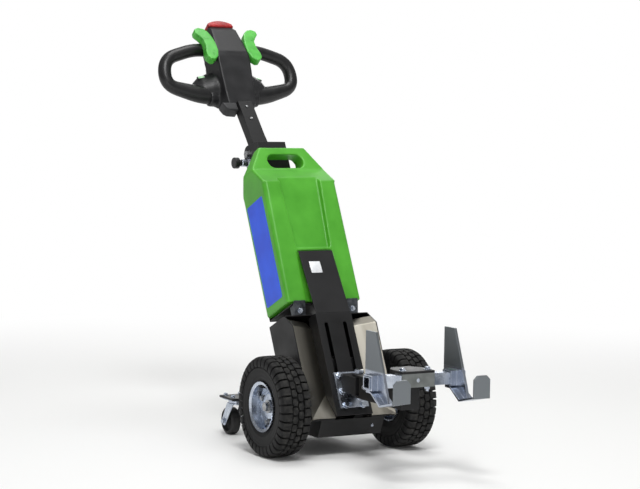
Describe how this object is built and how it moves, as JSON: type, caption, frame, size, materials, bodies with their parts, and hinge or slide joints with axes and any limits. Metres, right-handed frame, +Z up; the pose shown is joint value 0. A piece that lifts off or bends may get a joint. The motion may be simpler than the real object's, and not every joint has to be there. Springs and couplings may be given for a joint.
{
  "type": "tow tractor",
  "caption": "Pedestrian-operated battery tow tractor with a leaning battery box, a looped tiller handle and a front crossbar that carries two trolley hooks.",
  "frame": {"origin": "on the floor under the middle of the bounding box", "axes": "+Z up, -Y towards the hitch and the loads, +Y towards the operator, +X to the operator's right as they face the hitch"},
  "size_m": [0.462, 1.2576, 1.1501],
  "materials": {
    "tyre": "matt black rubber",
    "caster_tyre": "matt black rubber",
    "zinc": "bright zinc plate",
    "steel": "bright turned steel",
    "casting": "dark casting",
    "black_paint": "black powder coat",
    "grey_paint": "grey primer-like coat",
    "stainless": "brushed stainless",
    "green_plastic": "moulded green plastic, fine grain",
    "black_plastic": "satin black plastic",
    "red_plastic": "red plastic"
  },
  "bodies": {
    "frame": {"transaxle": "casting", "chassis": "black_paint", "side_plate_left": "black_paint", "side_plate_right": "black_paint", "front_cover_left": "stainless", "front_cover_right": "stainless", "rear_panel": "black_paint", "front_channel": "black_paint", "front_plate": "black_paint", "battery_box": "green_plastic", "battery_tray": "black_paint", "box_latch_left": "zinc", "box_latch_right": "zinc", "column": "black_paint", "hinge_ears": "black_paint", "hinge_pin": "steel", "index_plunger": "black_plastic", "hitch_plate": "zinc", "pivot_block": "black_paint", "pivot_pin": "zinc", "castor_plate_left": "zinc", "castor_plate_right": "zinc"},
    "wheel_left": {"tyre_left": "tyre", "rim_left": "zinc", "wheel_shaft_left": "steel"},
    "wheel_right": {"tyre_right": "tyre", "rim_right": "zinc", "wheel_shaft_right": "steel"},
    "tiller": {"tiller_tube": "black_paint", "tiller_head": "black_plastic", "loop_handle": "black_plastic", "belly_switch": "red_plastic", "drive_paddle_left": "green_plastic", "drive_paddle_right": "green_plastic", "key_box": "black_plastic"},
    "hitch": {"drawbar": "black_paint", "crossbar": "zinc", "bar_sleeve": "grey_paint", "hook_left": "zinc", "hook_right": "zinc"},
    "swivel_left": {"castor_fork_left": "zinc", "castor_axle_left": "steel"},
    "swivel_right": {"castor_fork_right": "zinc", "castor_axle_right": "steel"},
    "castor_left": {"castor_wheel_left": "caster_tyre"},
    "castor_right": {"castor_wheel_right": "caster_tyre"}
  },
  "joints": [
    {"name": "wheel_left_spin", "type": "hinge", "parent": "frame", "child": "wheel_left", "pos_m": [-0.188, -0.1388, 0.13], "axis": [1, 0, 0], "continuous": true},
    {"name": "castor_left_swivel", "type": "hinge", "parent": "frame", "child": "swivel_left", "pos_m": [-0.138, 0.1712, 0.095], "axis": [0, 0, 1], "continuous": true},
    {"name": "castor_left_roll", "type": "hinge", "parent": "swivel_left", "child": "castor_left", "pos_m": [-0.138, 0.2032, 0.0375], "axis": [1, 0, 0], "continuous": true},
    {"name": "wheel_right_spin", "type": "hinge", "parent": "frame", "child": "wheel_right", "pos_m": [0.188, -0.1388, 0.13], "axis": [1, 0, 0], "continuous": true},
    {"name": "castor_right_swivel", "type": "hinge", "parent": "frame", "child": "swivel_right", "pos_m": [0.138, 0.1712, 0.095], "axis": [0, 0, 1], "continuous": true},
    {"name": "castor_right_roll", "type": "hinge", "parent": "swivel_right", "child": "castor_right", "pos_m": [0.138, 0.2032, 0.0375], "axis": [1, 0, 0], "continuous": true},
    {"name": "tiller_tilt", "type": "hinge", "parent": "frame", "child": "tiller", "pos_m": [0, 0.3012, 0.766], "axis": [1, 0, 0], "range_deg": [-25, 38]},
    {"name": "hitch_swing", "type": "hinge", "parent": "frame", "child": "hitch", "pos_m": [0, -0.2448, 0.186], "axis": [0, 0, 1], "range_deg": [-30, 30]}
  ]
}
